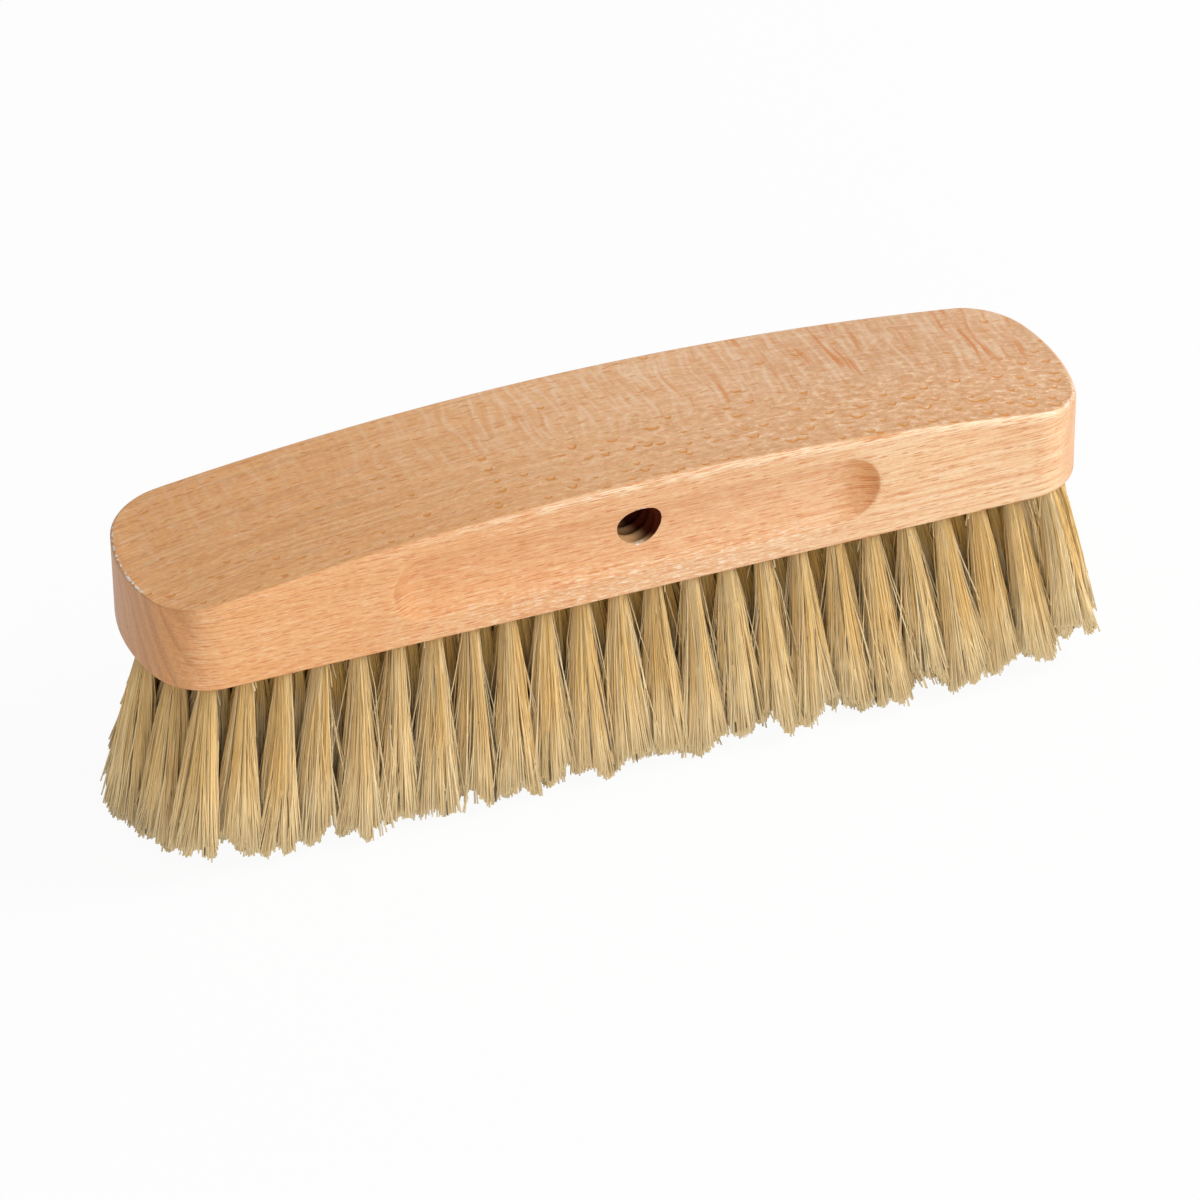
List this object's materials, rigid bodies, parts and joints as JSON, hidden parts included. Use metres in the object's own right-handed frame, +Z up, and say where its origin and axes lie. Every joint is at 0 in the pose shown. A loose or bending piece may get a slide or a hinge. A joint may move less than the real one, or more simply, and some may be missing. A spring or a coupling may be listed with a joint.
{
  "type": "dough trough brush",
  "caption": "Long hand brush with a cambered wooden block, a finger groove along each side, a blind socket for a screw-in handle, and rows of fanned natural bristle tufts.",
  "frame": {"origin": "Under the middle of the block, on the plane of the bristle tips", "axes": "+X along the block, +Y from the socket side to the back, +Z up from the bristle tips to the hand side"},
  "size_m": [0.2988, 0.0776, 0.0915],
  "materials": {
    "beech": "oiled beech, satin",
    "bristle": "blond natural bristle"
  },
  "bodies": {
    "root": {"brush_block": "beech", "front_row_bristles": "bristle", "front_inner_bristles": "bristle", "back_inner_bristles": "bristle", "back_row_bristles": "bristle"}
  },
  "joints": []
}
